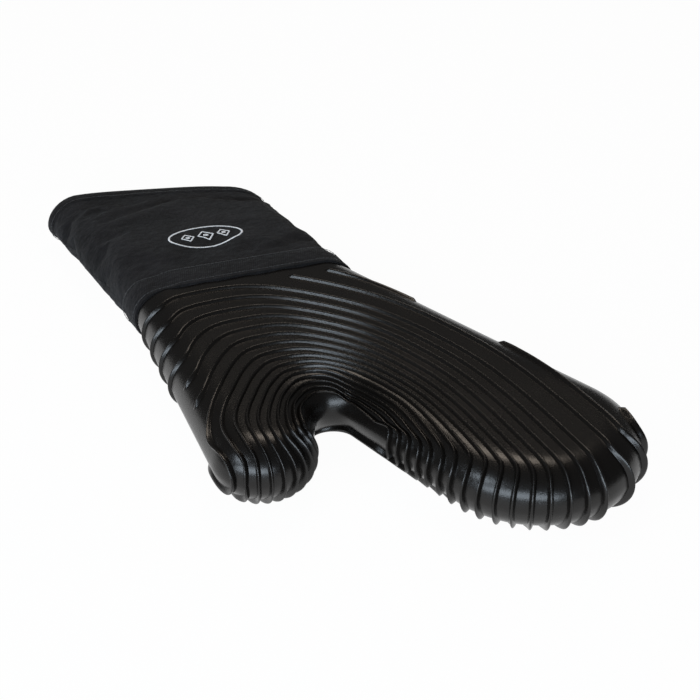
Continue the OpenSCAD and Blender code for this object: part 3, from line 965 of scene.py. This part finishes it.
def embroidery(name, cloth):
    """A white satin-stitched motif that follows the cloth."""
    mesh = cloth.data
    tree = BVHTree.FromPolygons([v.co for v in mesh.vertices], [p.vertices for p in mesh.polygons])
    pieces = []
    for i, (flat, width) in enumerate(motif_lines()):
        flat = spaced(flat, 0.42, True) + MOTIF_AT
        spots, along, up = [], [], []
        for (x, y), (dx, dy) in zip(flat, unit_rows(ahead_of(flat))):
            start = Vector(placed([(x, y, ABOVE_CUFF)])[0])
            hit, normal, _, _ = tree.ray_cast(start, Vector((0, 0, -1)))
            spots.append(np.array(hit) * 1000 + ORIGIN + np.array(normal) * 0.1)
            along.append((-dy, dx, 0))
            up.append(tuple(normal))
        path = path_piece(f"{name}_{i}", [(np.array(spots), False)],
                          along=[np.array(along)], up=[np.array(up)])
        pieces.append(stitch_tree().run(path, Length=width * 0.001, Width=0.00055, Wander=0.1, Seed=i,
                                        Thread=white_thread))
    with bpy.context.temp_override(active_object=pieces[0], selected_editable_objects=pieces,
                                   selected_objects=pieces):
        bpy.ops.object.join()
    pieces[0].name = name
    return pieces[0]


# ---- build the pieces ----
hand = silicone_hand()
inner_ribs = moulded_ribs("inner_ribs", range(0, 9))
outer_ribs = moulded_ribs("outer_ribs", range(9, RIB_N + RIB_FAR_N))

hand_wadding = hand_layer("hand_wadding", WADDING_IN, WADDING_T, wadding_fill)
hand_lining = hand_layer("hand_lining", LINING_IN, LINING_T, lining_cloth)

cuff_back, cuff_palm = cuff_layer("cloth", 0, FABRIC_T, 1, twill)
back_fill, palm_fill = cuff_layer("fill", CUFF_WADDING_IN, WADDING_T, FLANGE_S, wadding_fill)
back_inside, palm_inside = cuff_layer("inside", CUFF_LINING_IN, LINING_T, 1, lining_cloth)
hem = rolled_edge("hem_fold", hem_profile(), twill)
binding = rolled_edge("mouth_roll", binding_profile(), twill)

stitching = seam_stitches("cuff_stitching", [
    (HEM_S + HEM_ROW / CUFF_L, -FABRIC_T - 0.2), (1 - SEAM_ROW / CUFF_L, -FABRIC_T - 0.2),
    (BINDING_S - MOUTH_ROW / CUFF_L, -FABRIC_T - 0.05)], STITCH_L, STITCH_PITCH)
motif = embroidery("thread_motif", cuff_back)

# ---- each piece hangs on the root body and hides the parts it stands for ----
for piece, slot, nodes in (
        (hand, "silicone", ["silicone_shell"]), (inner_ribs, "silicone", []), (outer_ribs, "silicone", []),
        (hand_wadding, "wadding", ["back_wadding", "palm_wadding"]),
        (hand_lining, "lining", ["back_lining", "palm_lining"]),
        (cuff_back, "twill", ["cuff_back_panel"]), (cuff_palm, "twill", ["cuff_palm_panel"]),
        (back_fill, "wadding", ["cuff_back_wadding"]), (palm_fill, "wadding", ["cuff_palm_wadding"]),
        (back_inside, "lining", ["cuff_back_lining"]), (palm_inside, "lining", ["cuff_palm_lining"]),
        (hem, "twill", ["hem_band"]), (binding, "twill", ["mouth_binding"]),
        (stitching, "twill", []), (motif, "twill", [])):
    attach(piece, "root")
    if nodes:
        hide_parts(*nodes)


def quarter_round(across, high):
    """The length of a quarter of an ellipse."""
    return math.pi * (3 * (across + high) - math.sqrt((3 * across + high) * (across + 3 * high))) / 4


def hand_cut_area(inset):
    """The area of one face's cut for the hand, in mm2: its plan, and what the round of its edge adds."""
    run = (edge_points - inset * edge_normals)[edge_points[:, 0] > joint_x(edge_points[:, 1])]
    x, y = run.T
    plan = abs(np.dot(x, np.roll(y, -1)) - np.dot(y, np.roll(x, -1))) / 2
    edge = np.linalg.norm(np.diff(run, axis=0), axis=1).sum()
    return plan + edge * (quarter_round(EDGE_A - inset, HALF_T - inset) - (EDGE_A - inset))


LINING_MID = LINING_T / 2
linings = [cuff_arch(s, CUFF_LINING_IN + LINING_MID, 1) for s in stations]
2 * hand_cut_area(LINING_IN + LINING_MID) * 1e-6

# ---- stage, light and camera ----
scene = bpy.context.scene
floor_mesh = bpy.data.meshes.new("floor")
floor_mesh.from_pydata([(-4, -4, 0), (4, -4, 0), (4, 4, 0), (-4, 4, 0)], [], [(0, 1, 2, 3)])
floor = bpy.data.objects.new("floor", floor_mesh)
scene.collection.objects.link(floor)


def pale_floor():
    """A floor that is white where the camera or a reflection sees it, with only a faint shadow."""
    f = Finish("pale_floor", Roughness=0.9, Specular_IOR_Level=0.1)
    speck = f.noise(300, 2)
    f.surface(f.blend(speck, (0.90, 0.90, 0.90), (0.92, 0.92, 0.92)))
    camera_ray = f.node("ShaderNodeLightPath")
    seen = camera_ray + f.output(camera_ray, "Is Glossy Ray") + f.output(camera_ray, "Is Transmission Ray")
    seen = seen.clamped()
    glow = f.node("ShaderNodeEmission", {}, {"Color": (1, 1, 1, 1), "Strength": 1.0})
    mixed = f.node("ShaderNodeMixShader", {}, {0: seen * 0.97, 1: Signal(f, f.shader.outputs[0]), 2: glow})
    f.tree.links.new(mixed.socket, f.tree.nodes["Material Output"].inputs["Surface"])
    return f.material


floor_mesh.materials.append(pale_floor())

# The camera sees a white sky that lights the mitt only faintly
world = bpy.data.worlds.new("studio")
scene.world = world
world.use_nodes = True
sky = Graph(world.node_tree)
camera_ray = sky.node("ShaderNodeLightPath")
background = world.node_tree.nodes["Background"]
world.node_tree.links.new((camera_ray * 0.91 + 0.09).socket, background.inputs["Strength"])
background.inputs["Color"].default_value = (1, 1, 1, 1)


def soft_light(name, place, wide, tall, watts, tint):
    """A softbox that faces the middle of the mitt."""
    data = bpy.data.lights.new(name, "AREA")
    data.shape, data.size, data.size_y = "RECTANGLE", wide, tall
    data.energy, data.color = watts, tint
    lamp = bpy.data.objects.new(name, data)
    lamp.location = place
    lamp.rotation_euler = (-Vector(place)).to_track_quat("-Z", "Y").to_euler()
    scene.collection.objects.link(lamp)


WARM, COOL = (1.0, 0.87, 0.74), (0.78, 0.89, 1.0)
soft_light("top_softbox", (-0.62, 0.32, 1.3), 0.8, 0.35, 6, WARM)
soft_light("window_softbox", (0.22, -1.05, 0.86), 0.5, 0.3, 5, COOL)
soft_light("low_softbox", (1.0, -0.85, 0.45), 2.0, 0.4, 24, COOL)

CAMERA_PLACE, CAMERA_HEADING, CAMERA_DOWN = (0.4992, -0.2324, 0.3239), (-0.8887, 0.4584), 30.37
camera_data = bpy.data.cameras.new("camera")
camera_data.lens, camera_data.sensor_width = 65.83, 36
camera = bpy.data.objects.new("camera", camera_data)
camera.location = CAMERA_PLACE
down = math.radians(CAMERA_DOWN)
look = Vector((CAMERA_HEADING[0] * math.cos(down), CAMERA_HEADING[1] * math.cos(down), -math.sin(down)))
camera.rotation_euler = look.to_track_quat("-Z", "Y").to_euler()
scene.collection.objects.link(camera)
scene.camera = camera
scene.view_settings.view_transform = "Standard"
